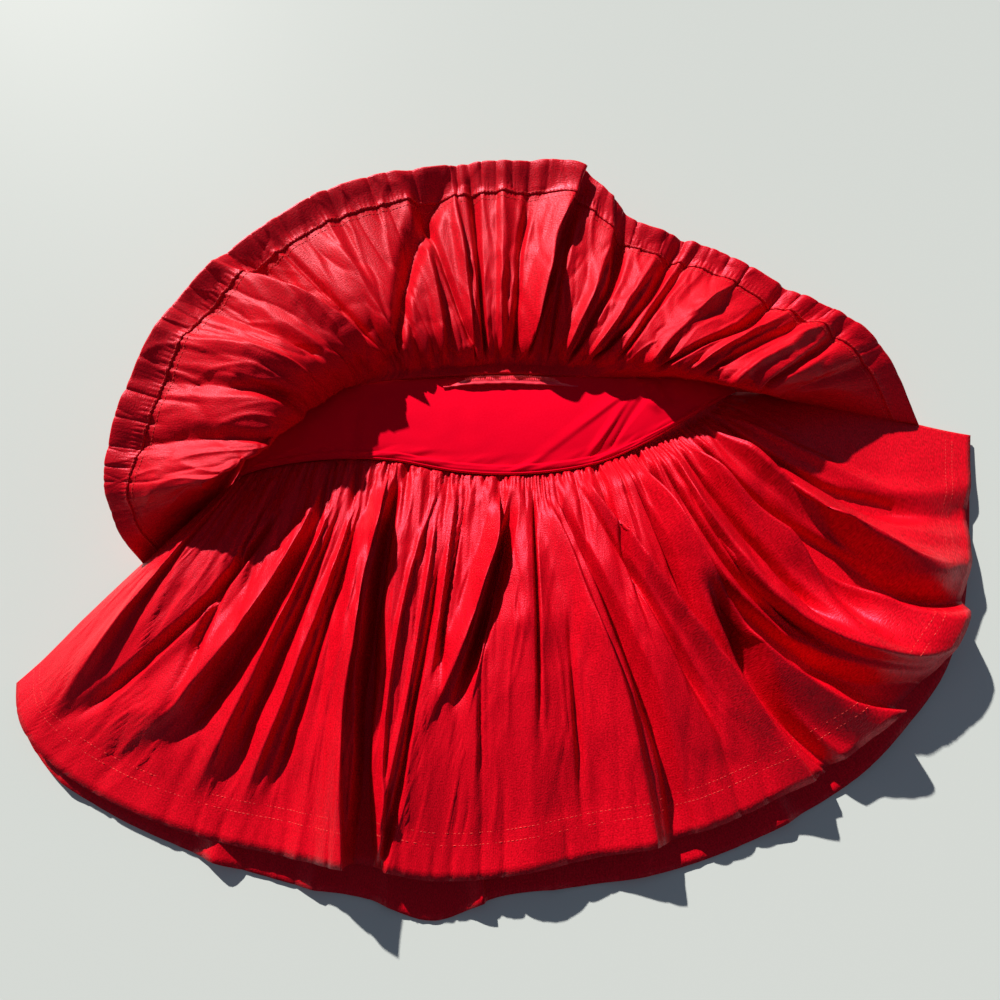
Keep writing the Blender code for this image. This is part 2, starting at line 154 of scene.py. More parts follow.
# %% Layer heights
CLOTH = 0.55
WALL = 1.4
LAYER_GAP = 0.3
SEAM_GAP = 0.3
TUCK = 2.5
HEM_DEPTH = 25.0
TWIN_ROWS = 6.4
UNDER_TIER_TOP = 1.5
SEAM_TOP = 5.0
ON_TABLE_TOP = 1.0
YOKE_LIFT = 12.0
WAIST_LIFT = 13.0
YOKE_DOME = 3.0
LEAST_LIFT = 6.0
SIDE_ROLL = 0.12
SIDE_BOW = 4.0
SIDE_BOW_WIDTH = 0.15

# WALL is the solids' thickness: cloth is thinner, and its top lies where theirs does. The two tables are
# the lower tier's rows with its lift on them, and shares of its hem with what is left of that lift.
LOWER_LIFT = ((0.00, 0.12, 0.30, 0.55, 0.80, 1.00), (YOKE_LIFT, 17, 22, 22, 18, 13))
HEM_LEFT = ((0.03, 0.10, 0.28, 0.35, 0.42, 0.50, 0.78, 0.86), (1, 0.45, 0.45, 1.1, 1.1, 0.8, 0.7, 1.1))


def side_rise(share):
    """How far a front panel has rolled up from the side seams: 0 on them and 1 inside."""
    inwards = np.clip(np.minimum(share, 1 - share) / SIDE_ROLL, 0, 1)
    return 1 - (1 - inwards) ** 2


def side_bow(share, row):
    """How far a side seam bows away from a straight line, in millimetres."""
    near_side = 1 - ease(np.minimum(share, 1 - share) / SIDE_BOW_WIDTH)
    return SIDE_BOW * np.sin(1.5 * np.pi * row) * near_side


def hem_settles(share, row):
    """How much of the front's lift is left: the left half of its hem has settled nearly flat."""
    return 1 + (np.interp(share, *HEM_LEFT) - 1) * ease((row - 0.45) / 0.5)


def back_panel_top(share, row):
    """The top of the lower tier's back, which comes down to the table past the tier below it."""
    lies_on_table = 1 - ease((share - 0.82) / 0.10)
    sunk = np.interp(row, (0, 0.66), (0, 1))
    laid = np.interp(row, (0.66, 0.82), (0, SEAM_TOP - 1 - ON_TABLE_TOP)) * lies_on_table
    return SEAM_TOP - sunk - laid


def waist_top(share):
    """The top of the yoke along the waist seam."""
    return SEAM_TOP + LAYER_GAP + side_rise(share) * WAIST_LIFT + WALL


print(f"the yoke lies {SEAM_TOP + YOKE_LIFT:.0f} mm up and the waist seam {float(waist_top(0.5)):.0f} mm")

# %% [markdown]
# ## What a fold is
#
# Three kinds of relief make the gathers look real, and each is a short function.
#
# - A *fold* is one of the large ridges or troughs that can be pointed at. They are listed one by one, with
#   slopes of different widths, and a lean that lets a crest hang over its own shadow.
# - *Pleats* are what gathering makes. Each pleat line is a sharp valley that starts at the seam and runs
#   for its own length. Where one ends, its two neighbours join into one wider swell. A seeded generator
#   spaces them unevenly, because evenly spaced pleats look like corrugated card.
# - *Crinkle* is smooth lattice noise, stretched along the folds, for what cloth does between them.

# %% Smooth noise
LATTICE = 256


def lattice_noise(x, y, seed):
    """Smooth noise from -1 to 1, one value to each unit square."""
    lattice = np.random.default_rng(seed).uniform(-1, 1, (LATTICE, LATTICE))
    column, line = np.floor(x).astype(int), np.floor(y).astype(int)
    s, t = ease(x - column), ease(y - line)

    def on_line(line):
        near, far = lattice[column % LATTICE, line % LATTICE], lattice[(column + 1) % LATTICE, line % LATTICE]
        return near * (1 - s) + far * s

    return on_line(line) * (1 - t) + on_line(line + 1) * t


# %% Folds that are listed one by one
Fold = namedtuple("Fold", "seam middle hem left right height begin end lean")
CRISP = 0.45
WANDER = 0.003
UNEVEN = 0.28


def read_fold(seam, middle, hem, left, right, height, begin, end, lean=0):
    """
    A fold from a row of a table. Its line's three points and its slopes' widths are in thousandths of the
    seam, where it begins and ends in hundredths of the way to the hem, and its height in millimetres.
    """
    line_and_slopes = [value / 1000 for value in (seam, middle, hem, left, right)]
    return Fold(*line_and_slopes, height, begin / 100, end / 100, lean)


def fold_line(seam, middle, hem, row):
    """The share that a curved line has on a row. The line is given at the seam, half way and at the hem."""
    return seam * (1 - row) * (1 - 2 * row) + middle * 4 * row * (1 - row) + hem * row * (2 * row - 1)


def following(guides, across, row):
    """The shares of a grid whose columns run along the main folds, so that no crest is cut into steps."""
    lines = [[value / 1000 for value in line] for line in ((0, 0, 0), *guides, (1000, 1000, 1000))]
    knots = [sum(line) / 3 for line in lines]
    share = []
    for columns, at in zip(across, row[:, 0]):
        share.append(np.interp(columns, knots, [fold_line(*line, at) for line in lines]))
    return np.array(share)


def folded(table, share, row):
    """The height that a table of folds adds, and how far it leans along the seam, in millimetres."""
    height = np.zeros_like(share)
    lean = np.zeros_like(share)
    for number, fold in enumerate(read_fold(*values) for values in table):
        wander = WANDER * row * lattice_noise(row * 5, row * 0 + number, 5)
        away = share - fold_line(fold.seam, fold.middle, fold.hem, row) - wander
        slope = np.where(away < 0, fold.left, fold.right) * (0.35 + 0.65 * row)
        slope = slope * (1 + UNEVEN * lattice_noise(row * 4, row * 0 + number, 6))
        inside = 1 - np.clip(np.abs(away / slope), 0, 1)
        profile = (1 - CRISP) * ease(inside) + CRISP * inside**1.5
        strength = ease((row - fold.begin) / 0.20) * (1 - ease((row - fold.end) / 0.26))
        strength = strength * (1 + UNEVEN * lattice_noise(row * 6, row * 0 + number, 7))
        height += fold.height * profile * strength
        lean += fold.height * fold.lean * profile * strength
    return height, lean


# %% Pleats that start at a seam or at a hem
Pleats = namedtuple(
    "Pleats", "seed count depth width spread short long drift from_hem", defaults=(0.0, False)
)


def pleated(pleats, share, row, seam_length, hem_length):
    """Valleys along uneven lines, each as long as chance makes it. The result is zero or below."""
    chance = np.random.default_rng(pleats.seed)
    count = pleats.count
    spacing = 1 / count
    starts = (np.arange(count) + 0.5 + chance.uniform(-0.38, 0.38, count)) * spacing
    ends = starts + chance.normal(0, 1, count) * pleats.drift
    lengths = pleats.short + (pleats.long - pleats.short) * chance.uniform(0, 1, count) ** 3
    depths = pleats.depth * chance.uniform(0.45, 1.25, count)
    way = 1 - row if pleats.from_hem else row
    across = seam_length + (hem_length - seam_length) * row
    relief = np.zeros_like(share)
    for start, end, length, depth in zip(starts, ends, lengths, depths):
        away = np.abs(share - start - (end - start) * way) * across
        width = pleats.width + pleats.spread * way
        fade = 1 - ease((way - 0.55 * length) / (0.45 * length))
        relief -= depth * fade * np.exp(-away / width)
    return relief


# %% Crinkle between the folds


def creased(x, y, seed, power):
    """Narrow ridges, from 0 to 1, along the lines where smooth noise passes through 0."""
    return (1 - np.abs(lattice_noise(x, y, seed))) ** power


def crinkled(across, down, seed, swell, crease, crumple):
    """Long soft swells, creases that run with them, and a fine crumple. Across and down are in mm."""
    bend = 7 * lattice_noise(across / 50, down / 40, seed)
    swells = lattice_noise((across + bend) / 21, down / 95, seed + 1)
    where = 0.5 + 0.5 * lattice_noise(across / 45, down / 60, seed + 2)
    ridges = creased((across + bend) / 14, down / 75, seed + 3, 6)
    troughs = creased((across - bend) / 11, down / 50, seed + 4, 6)
    slant = creased((across + 0.35 * down) / 15, down / 42, seed + 5, 7)
    other = creased((across - 0.35 * down) / 17, down / 38, seed + 6, 7)
    fine = lattice_noise(across / 4.5, down / 11, seed + 7)
    fine = fine + 0.5 * lattice_noise(across / 2.2, down / 5, seed + 8)
    creases = ridges - troughs + where * slant - (1 - where) * other
    return swell * swells + crease * creases + crumple * fine


sample = crinkled(shares * LOW_LENGTH, shares * 0, 1, 1.5, 0.8, 0.2)
print(f"crinkle runs from {sample.min():.2f} to {sample.max():.2f} mm")

# %% [markdown]
# ## From a grid to cloth
#
# A sheet of cloth is a grid of quads with a Solidify modifier. The modifier gives the sheet its second
# side and its cut edge, so the mesh is closed and both sides can be seen. The UV map holds the cut piece in
# metres, which is what a weaver would measure, so the weave follows the folds.

# %% Make a sheet of cloth
pieces = {}


def in_metres(points):
    """Drawing millimetres to frame metres."""
    return (points + np.array((DRAWING_X, DRAWING_Y, 0.0))) * MM


def new_object(name, data):
    """A new object in the scene."""
    made = bpy.data.objects.new(name, data)
    bpy.context.scene.collection.objects.link(made)
    return made


def cloth_sheet(name, points, cut, thickness=CLOTH):
    """A sheet through a grid of points, rows by columns. Cut is the same grid on the flat cloth, in mm."""
    rows, columns = points.shape[:2]
    index = np.arange(rows * columns).reshape(rows, columns)
    corners = [index[:-1, :-1], index[:-1, 1:], index[1:, 1:], index[1:, :-1]]
    across = points[rows // 2, -1] - points[rows // 2, 0]
    down = points[-1, columns // 2] - points[0, columns // 2]
    if across[0] * down[1] - across[1] * down[0] < 0:
        corners.reverse()
    quads = np.stack(corners, axis=-1).reshape(-1, 4)
    mesh = bpy.data.meshes.new(name)
    mesh.from_pydata(in_metres(points).reshape(-1, 3), [], quads.tolist())
    uv = mesh.uv_layers.new(name="cut")
    uv.data.foreach_set("uv", (cut.reshape(-1, 2)[quads.ravel()] * MM).ravel())
    mesh.shade_smooth()
    piece = new_object(name, mesh)
    wall = piece.modifiers.new("second side", "SOLIDIFY")
    wall.thickness = thickness * MM
    wall.offset = -1
    pieces[name] = piece
    print(f"{name}: {len(quads)} quads, top {points[..., 2].max():.0f} mm")


def grid(columns, rows, pack=1.0):
    """Shares and rows of a grid. A pack above 1 puts more of the rows near the seam."""
    return np.meshgrid(np.linspace(0, 1, columns), np.linspace(0, 1, rows) ** pack)


def sideways(points):
    """The direction along the seam at each grid point."""
    return unit(np.gradient(points, axis=1))


# %% [markdown]
# ## The lower tier's front
#
# This is the largest piece in view. It could be made with cloth simulation, but gathers this fine need
# far more points than a simulation can settle in reasonable time, and its folds would fall anywhere. So the
# folds that give this skirt its look are listed one by one, left to right, and the pleats between them are
# grown from the seam. The hem turns up 25 mm and is a little stiffer, so the finest crumple fades there.

# %% Folds of the lower tier, left to right
LOWER_FOLDS = (
    (100, 75, 60, 30, 20, 8, 2, 75, 0.3),
    (250, 158, 60, 22, 18, -9, 12, 68),
    (200, 177, 160, 10, 10, -5, 5, 55),
    (300, 212, 118, 45, 20, 10, 10, 66, 0.4),
    (315, 234, 150, 18, 28, -9, 12, 60),
    (335, 252, 205, 16, 14, 6, 12, 70, 0.4),
    (350, 272, 222, 14, 20, -8, 12, 66),
    (372, 295, 240, 20, 14, 6, 12, 72, 0.4),
    (378, 316, 262, 10, 16, -5, 12, 70),
    (385, 340, 305, 16, 12, 3, 20, 120, 0.3),
    (405, 356, 360, 42, 12, 16, 4, 160, 0.4),
    (418, 389, 396, 20, 24, -25, 2, 160),
    (485, 426, 424, 10, 8, 4, 3, 100, 0.3),
    (476, 455, 404, 10, 7, 3, 5, 80, 0.3),
    (488, 468, 418, 6, 10, -7, 20, 130),
    (505, 480, 455, 10, 7, 4, 5, 40, 0.3),
    (522, 490, 480, 6, 8, -5, 5, 40),
    (572, 507, 400, 30, 12, 13, 4, 44, 0.5),
    (588, 530, 420, 14, 28, -18, 5, 40),
    (583, 545, 470, 4, 4, 6, 12, 40),
    (540, 545, 552, 4, 6, -4, 48, 60),
    (600, 600, 600, 45, 45, 4, 10, 130),
    (611, 608, 606, 5, 7, -6, 2, 50),
    (640, 640, 636, 5, 9, -4, 35, 70),
    (612, 670, 688, 40, 16, 7, 5, 110, 0.4),
    (628, 690, 708, 8, 24, -13, 6, 100),
    (660, 735, 770, 8, 14, -10, 5, 60),
    (672, 756, 815, 18, 10, 9, 5, 90, 0.35),
    (745, 768, 782, 6, 12, -7, 4, 40),
    (700, 722, 742, 6, 14, -5, 4, 34),
    (762, 786, 834, 8, 16, -15, 40, 160),
    (774, 792, 880, 24, 8, 12, 4, 130, 0.4),
    (790, 817, 902, 30, 14, -19, 4, 100),
    (804, 834, 895, 6, 10, -13, 4, 45),
    (835, 850, 925, 12, 40, 12, 6, 90, -0.3),
    (822, 848, 900, 6, 10, -12, 4, 50),
    (848, 868, 910, 6, 10, -12, 4, 55),
    (862, 890, 940, 26, 10, 8, 4, 120, 0.3),
    (876, 902, 946, 8, 14, -16, 4, 100),
    (905, 925, 960, 12, 8, 8, 4, 120, 0.4),
    (895, 897, 915, 12, 26, -12, 25, 70),
    (915, 930, 950, 14, 30, 13, 20, 80, -0.3),
    (925, 945, 975, 8, 10, -11, 4, 110),
    (945, 960, 982, 12, 12, 5, 5, 110, 0.2),
)
LOWER_GUIDES = (
    (250, 158, 60), (300, 212, 118), (335, 252, 205), (372, 295, 240),
    (405, 356, 360), (418, 389, 396), (572, 507, 430), (611, 608, 606),
    (628, 690, 708), (776, 794, 880), (862, 895, 945), (905, 925, 962),
)
LOWER_PLEATS = (
    Pleats(11, 92, 3.0, 1.1, 5.0, 0.04, 0.50, 0.006),
    Pleats(12, 34, 3.0, 1.8, 5.0, 0.20, 1.0, 0.010),
    Pleats(14, 150, 2.2, 0.7, 3.0, 0.05, 0.24, 0.003),
    Pleats(13, 30, 1.6, 2.0, 5.0, 0.06, 0.45, from_hem=True),
)
LOWER_CUT = 780.0
LOWER_CUT_DEPTH = 245.0
print(len(LOWER_FOLDS), "folds in the lower tier")

# %% Puckers along a twin row of stitches
PUCKER_LENGTH = 2.6


def hem_puckers(across, past_stitches):
    """The fine ribs that two rows of stitches draw up between them, from -1 to 1, and a trace beyond."""
    between_rows = ease((past_stitches + 2.5) / 2) * (1 - ease((past_stitches - TWIN_ROWS - 1) / 2))
    beyond = 0.1 * ease((past_stitches - TWIN_ROWS) / 2)
    wave = np.sin(2 * np.pi * across / PUCKER_LENGTH + 1.6 * lattice_noise(across / 9, across * 0, 71))
    uneven = 0.6 + 0.4 * lattice_noise(across / 14, across * 0 + 3, 72)
    return wave * uneven * (between_rows + beyond)


# %% Shape the lower tier's front
LOWER_PUCKER = 0.22
LOWER_LOFT = 3.2
STORED_CREASE, STORED_HEIGHT = 0.42, 2.0
STORED_FROM, STORED_TO = 0.55, 0.63
RIGHT_SLOPE = 13.0
RIGHT_FALL = 0.55
RIGHT_DEEPER = 0.55


def lower_front(share, row):
    """Points of the front of the lower tier, and the same points on the cut cloth."""
    start, end = edge(share, "seam"), edge(share, "low")
    plan = between(start, end, row, -TUCK)
    tucked = TUCK / np.linalg.norm(end - start, axis=-1)
    past_seam = np.linalg.norm(plan - start, axis=-1) * np.sign(row - 1e-9 - tucked)
    out = ease((past_seam + 0.3) / 1.9)
    lift = np.interp(row, *LOWER_LIFT)
    height, lean = folded(LOWER_FOLDS, share, row)
    deeper = 1 + RIGHT_DEEPER * ease((share - 0.72) / 0.07) * (1 - ease((row - 0.62) / 0.28))
    height, lean = height * deeper, lean * deeper
    relief = sum(pleated(pleats, share, row, SEAM_LENGTH, LOW_LENGTH) for pleats in LOWER_PLEATS)
    across, down = share * LOWER_CUT, row * LOWER_CUT_DEPTH
    calm = 1 - 0.6 * ease((down - LOWER_CUT_DEPTH + HEM_DEPTH + 4) / 8)
    relief += crinkled(across, down, 21, 1.6, 1.1, 0.12) * ease(row / 0.1) * calm
    pressed = 1 - np.clip(np.abs(row - STORED_CREASE) / 0.09, 0, 1)
    stored = ease((share - STORED_FROM) / 0.02) * (1 - ease((share - STORED_TO) / 0.02))
    relief += STORED_HEIGHT * pressed * stored
    relief += LOWER_PUCKER * hem_puckers(across, down - LOWER_CUT_DEPTH + HEM_DEPTH)
    lift = lift * hem_settles(share, row)
    lift = lift + RIGHT_SLOPE * ease((share - 0.62) / 0.12) * ease(row / 0.12) * (1 - row)
    lift = lift * (1 - RIGHT_FALL * ease((share - 0.70) / 0.24) * (1 - ease((row - 0.6) / 0.3)))
    rise = side_rise(share)
    lowest = back_panel_top(share, 0.92 * row) + LAYER_GAP + CLOTH
    laid = lowest + rise * np.maximum(lift + height + relief + LOWER_LOFT, LEAST_LIFT)
    under_yoke = SEAM_TOP + LAYER_GAP + WALL + rise * YOKE_LIFT - 2 * CLOTH - 1.0
    top = under_yoke + (laid - under_yoke) * out
    plan = plan + sideways(plan) * (lean * rise)[..., None]
    plan[..., 1] += side_bow(share, row)
    return np.dstack([plan, top]), np.dstack([across, down])


across, row = grid(columns=760, rows=64, pack=1.35)
share = following(LOWER_GUIDES, across, row)
cloth_sheet("lower_tier_front_cloth", *lower_front(share, row))

# %% [markdown]
# ## The lower tier's back
#
# Only its hem shows, past the front's. It lies on the table in low waves. The rest is hidden inside the
# skirt and is finished more plainly, with the same kinds of folds.

# %% Shape the lower tier's back
BACK_FOLDS = (
    (100, 105, 110, 30, 30, 4, 60, 130),
    (200, 217, 235, 20, 30, 7, 60, 130, 0.3),
    (300, 315, 330, 30, 30, 4, 60, 130),
    (400, 415, 430, 20, 30, 3, 70, 130),
    (500, 522, 545, 30, 12, 9, 65, 130, 0.5),
    (600, 607, 615, 20, 20, 3, 70, 130),
    (660, 670, 680, 30, 30, 5, 65, 130),
    (750, 770, 790, 35, 20, 6, 65, 130, 0.3),
    (850, 860, 870, 30, 30, 4, 65, 130),
)
BACK_PLEATS = (
    Pleats(31, 70, 0.9, 1.5, 6.0, 0.05, 0.6, 0.006),
    Pleats(32, 34, 0.9, 2.5, 6.0, 0.06, 0.4, from_hem=True),
)
BACK_LOFT = 0.8


def lower_back(share, row):
    start, end = edge(share, "seam"), edge(share, "low")
    past = along(share, "past")[..., None]
    plan = between(start, end + unit(end - start) * past, row, SEAM_GAP)
    height, lean = folded(BACK_FOLDS, share, row)
    relief = sum(pleated(pleats, share, row, SEAM_LENGTH, LOW_LENGTH) for pleats in BACK_PLEATS)
    across, down = share * LOWER_CUT, row * LOWER_CUT_DEPTH
    relief += crinkled(across, down, 41, 0.5, 0.3, 0.12) * ease(row / 0.1)
    rise = side_rise(share)
    top = back_panel_top(share, row) + rise * np.maximum(height + relief + BACK_LOFT, -LAYER_GAP)
    plan = plan + sideways(plan) * (lean * rise)[..., None]
    plan[..., 1] += side_bow(share, row)
    return np.dstack([plan, top]), np.dstack([across, down])


cloth_sheet("lower_tier_back_cloth", *lower_back(*grid(columns=300, rows=60)))

# %% [markdown]
# ## The yoke
#
# The yoke is smooth matte jersey. Its seam allowance is pressed up under it and shows as a low ridge above
# the gathers, with a groove along it and small pulls where the gathers draw on it. A few faint creases
# cross its right half. Such a smooth panel needs no pleats, so its relief is a short sum of these parts.

# %% Shape the yoke
YOKE_DEPTH = 70.0
WELT = 6.0
WELT_HEIGHT = 1.1
GROOVE_AT, GROOVE_DEPTH, GROOVE_WIDTH = 1.6, 0.6, 0.5
PULL = 0.95
YOKE_FOLDS = (
    (590, 710, 850, 50, 22, 1, 2, 60),
    (680, 760, 830, 35, 18, 1.3, 2, 50),
    (715, 790, 850, 20, 30, -1, 2, 60),
    (860, 830, 800, 30, 16, 1.5, 30, 120, 0.3),
    (900, 870, 850, 25, 25, -1.6, 30, 120),
    (330, 315, 300, 40, 30, -1.2, -30, 50),
)


def yoke_plan(share, row):
    return between(edge(share, "seam"), edge(share, "waist"), row * (1 - SEAM_GAP / YOKE_DEPTH))


def yoke_front(share, row):
    rise = side_rise(share)
    lift = YOKE_LIFT + (WAIST_LIFT - YOKE_LIFT) * row + YOKE_DOME * 4 * row * (1 - row)
    down = row * YOKE_DEPTH
    height, _ = folded(YOKE_FOLDS, share, row)
    welt = WELT_HEIGHT * ease(down / 0.8) * (1 - ease((down - WELT + 0.5) / 0.8))
    groove = -GROOVE_DEPTH * np.exp(-(((down - GROOVE_AT) / GROOVE_WIDTH) ** 2))
    near_seam = ease((down - 2) / 2) * (1 - ease((down - WELT) / 9))
    pulled = PULL * near_seam * lattice_noise(share * 55 - 0.22 * down, down / 12, 51)
    soft = 0.5 * lattice_noise(share * 9, down / 30, 52) + 0.15 * lattice_noise(share * 40, down / 9, 53)
    relief = welt + groove + pulled + height + soft * ease(down / 8)
    top = SEAM_TOP + LAYER_GAP + WALL + rise * (lift + relief)
    return np.dstack([yoke_plan(share, row), top]), np.dstack([share * SEAM_LENGTH, down])


def yoke_back(share, row):
    top = SEAM_TOP + 0.15 * lattice_noise(share * 12, row * 3, 54)
    return np.dstack([yoke_plan(share, row), top]), np.dstack([share * SEAM_LENGTH, row * YOKE_DEPTH])


cloth_sheet("yoke_front_cloth", *yoke_front(*grid(columns=240, rows=90, pack=1.2)))
cloth_sheet("yoke_back_cloth", *yoke_back(*grid(columns=80, rows=16)))

# %% [markdown]
# ## The waistband
#
# It is hidden under the turned-up tier, so it has only what such a band must have: two plain pieces,
# drawn in a little by the elastic, with a soft wave for each small gather. The weave is laid out on a
# little more cloth than the band covers, for the same reason.

# %% Shape the waistband
BAND_DEPTH = 35.0
BAND_TAPER = 0.95
BAND_SINKS_BY = 0.40
BAND_WEAVE = (360, 36)
BAND_GATHERS = 58


def band_plan(share, row):
    waist = edge(share, "waist")
    return between(waist, waist * (BAND_TAPER, 1) + (0, BAND_DEPTH), row)


def band(share, row, lift):
    """A band piece. It comes down from the waist seam to the table, under the air caught inside."""
    wave = np.sin(2 * np.pi * BAND_GATHERS * share + 2 * np.sin(17 * share))
    ribs = 0.35 * wave * ease(row / 0.2)
    sunk = ease(row / BAND_SINKS_BY)
    top = (SEAM_TOP - WALL) * (1 - sunk) + WALL + 0.4 * sunk
    cut = np.dstack([share, row]) * BAND_WEAVE
    return np.dstack([band_plan(share, row), top + lift + ribs]), cut


share, row = grid(columns=240, rows=14)
cloth_sheet("waistband_back_cloth", *band(share, row, 0))
front_lift = 1.7 + side_rise(share) * (WAIST_LIFT * (1 - row) ** 1.5 + 1.5 * row)
cloth_sheet("waistband_front_cloth", *band(share, row, front_lift))

# %% [markdown]
# ## The turned-up tier
#
# The front half of the upper tier is turned back over the waistband, so its wrong side is up. It stands
# higher than the rest, because it bends back over its own gathers. Its hem allowance is a real second layer
# here, a strip that follows the tier a little above it, and its inner edge throws the dark line that
# runs inside the hem.

# %% Folds of the upper tier, left to right
UPPER_FOLDS = (
    (150, 140, 120, 20, 20, -4, 10, 120),
    (200, 190, 175, 18, 20, -6, 18, 110),
    (235, 225, 212, 22, 18, 5, 20, 120, 0.4),
    (262, 266, 245, 18, 24, -7, 22, 110),
    (350, 318, 282, 36, 12, 7, 20, 120, 0.5),
    (362, 336, 305, 12, 32, -8, 20, 110),
    (362, 345, 338, 6, 6, -4, 15, 90),
    (380, 375, 378, 26, 20, 6, 8, 120, 0.3),
    (345, 425, 500, 30, 28, -10, 10, 120),
    (450, 462, 440, 20, 18, 5, 5, 80, 0.3),
    (528, 485, 455, 8, 12, -6, 3, 110),
    (510, 505, 490, 14, 12, 5, 5, 110, 0.4),
    (537, 527, 518, 9, 14, -10, 3, 100),
    (565, 562, 560, 18, 18, 4, 5, 110),
    (585, 585, 590, 10, 12, -5, 5, 100),
    (590, 612, 640, 30, 8, 11, 5, 130, 0.6),
    (600, 624, 654, 8, 16, -9, 5, 120),
    (638, 640, 642, 7, 9, -6, 2, 55),
    (642, 680, 682, 16, 10, 6, 5, 110, 0.5),
    (655, 700, 700, 10, 14, -11, 3, 110),
    (675, 728, 740, 16, 10, 5, 5, 110, 0.4),
    (690, 744, 757, 9, 12, -10, 3, 100),
    (735, 761, 775, 8, 12, -8, 10, 90),
    (775, 805, 820, 30, 24, 6, 5, 120, 0.4),
    (785, 850, 865, 10, 16, -9, 3, 90),
    (840, 868, 880, 14, 10, 4, 5, 110, 0.4),
    (870, 884, 898, 8, 12, -7, 5, 90),
    (905, 908, 905, 16, 14, 4, 5, 110),
    (940, 932, 915, 10, 12, -7, 5, 90),
    (972, 960, 945, 8, 10, -5, 5, 90),
)
UPPER_GUIDES = (
    (200, 190, 175), (262, 266, 245), (350, 318, 282), (528, 485, 455),
    (540, 527, 518), (590, 612, 640), (655, 700, 700), (690, 744, 757),
    (785, 850, 865), (870, 884, 898), (940, 932, 915),
)
UPPER_PLEATS = (
    Pleats(61, 90, 2.6, 1.1, 5.0, 0.06, 0.65, 0.006),
    Pleats(62, 30, 3.8, 1.8, 5.0, 0.25, 1.0, 0.010),
)
UPPER_HEM_PLEATS = Pleats(63, 44, 1.7, 1.6, 5.0, 0.15, 0.50, from_hem=True)
UPPER_LOFT = 2.2
UPPER_CUT = 640.0
UPPER_CUT_DEPTH = 190.0
UPPER_HEM_ROW = 1 - HEM_DEPTH / UPPER_CUT_DEPTH
HEM_STEADY = 0.65
HEM_CURL = 5.0
PUCKER_HEIGHT = 0.36
print(len(UPPER_FOLDS), "folds in the upper tier")

# %% Shape the upper tier


def towards_yoke(share):
    """The direction in plan from the waist seam to the yoke's lower seam."""
    return unit(edge(share, "seam") - edge(share, "waist"))


def hermite(t, start, start_slope, end, end_slope):
    """A smooth path from one point to another, with its direction given at both."""
    t = t[..., None]
    rise, fall = t * t * (3 - 2 * t), t * (1 - t)
    return start + (end - start) * rise + fall * ((1 - t) * start_slope - t * end_slope)


def rolled(share, row):
    """The middle surface of the turned-up tier: up from its seam, over a roll, and back to its hem."""
    seam = np.dstack([edge(share, "waist"), waist_top(share) + LAYER_GAP + CLOTH])
    roll = np.dstack([edge(share, "roll"), along(share, "roll_z")])
    hem = np.dstack([edge(share, "up"), along(share, "up_z")])
    turn = along(share, "roll_row")[..., None]
    up = along(share, "roll_rise")[..., None] * np.array((0, 0, 1.0)) + 0.25 * (hem - roll)
    before = hermite(row / turn[..., 0], seam, roll - seam, roll, up * turn)
    after = hermite((row - turn[..., 0]) / (1 - turn[..., 0]), roll, up * (1 - turn), hem, hem - roll)
    return np.where(row[..., None] < turn, before, after)


def normals_of(points):
    """Unit normals of a grid of points, pointing up wherever the cloth lies back."""
    return unit(np.cross(np.gradient(points, axis=1), np.gradient(points, axis=0)))


def upper_front(share, row):
    middle = rolled(share, row)
    past_roll = row - 0.6 * along(share, "roll_row")
    height, lean = folded(UPPER_FOLDS, share, row)
    opened = 0.12 + 0.88 * ease(past_roll / 0.12)
    relief = sum(
        pleated(pleats, share, row, WAIST_LENGTH, UP_LENGTH) * opened for pleats in UPPER_PLEATS
    )
    relief += pleated(UPPER_HEM_PLEATS, share, row, WAIST_LENGTH, UP_LENGTH)
    across, down = share * UPPER_CUT, row * UPPER_CUT_DEPTH
    calm = 1 - 0.5 * ease((down - UPPER_CUT_DEPTH + HEM_DEPTH) / 6)
    relief += crinkled(across, down, 81, 1.0, 1.2, 0.12) * ease(row / 0.1) * calm
    relief += PUCKER_HEIGHT * hem_puckers(across, down - UPPER_CUT_DEPTH + HEM_DEPTH)
    rise = side_rise(share)
    steady = ease((row - 0.03) / 0.2) * (1 - HEM_STEADY * ease((row - 0.70) / 0.25))
    points = middle + normals_of(middle) * (rise * (height * steady + relief + UPPER_LOFT))[..., None]
    points += sideways(middle) * (lean * rise)[..., None]
    points[..., 2] += HEM_CURL * rise * ease((row - UPPER_HEM_ROW + 0.03) / (1.03 - UPPER_HEM_ROW)) ** 1.5
    lowest = UNDER_TIER_TOP + LAYER_GAP + CLOTH
    points[..., 2] = np.maximum(points[..., 2], lowest)
    return points, np.dstack([across, down])


across, row = grid(columns=720, rows=66, pack=1.10)
share = following(UPPER_GUIDES, across, row)
cloth_sheet("upper_tier_front_cloth", *upper_front(share, row))

# %% The hem allowance that lies on it
FIRST, LAST = 0.004, 0.996
ALLOWANCE_GAP = 0.15
across, row = np.meshgrid(np.linspace(FIRST, LAST, 900), np.linspace(UPPER_HEM_ROW, 0.999, 20))
share = following(UPPER_GUIDES, across, row)
points, cut = upper_front(share, row)
cloth_sheet("upper_hem_allowance", points + normals_of(points) * (CLOTH + ALLOWANCE_GAP), cut)

# %% [markdown]
# ## The tier's half on the table
#
# The two halves of the upper tier are one ring of cloth, so this half bends in plan as the turned-up one
# does near their side seams. Only its hem shows, past the other's left end. The rest carries the skirt,
# so it is pressed flat, and a plain grid with shallow pleats is enough.

# %% Shape the half that lies on the table
UNDERLAP = 6.0
UNDER_CUT = 500.0
UNDER_CUT_DEPTH = 160.0
UNDER_PLEATS = Pleats(91, 60, 0.9, 1.6, 6.0, 0.1, 0.8, 0.006)
UNDER_LOFT = 0.6


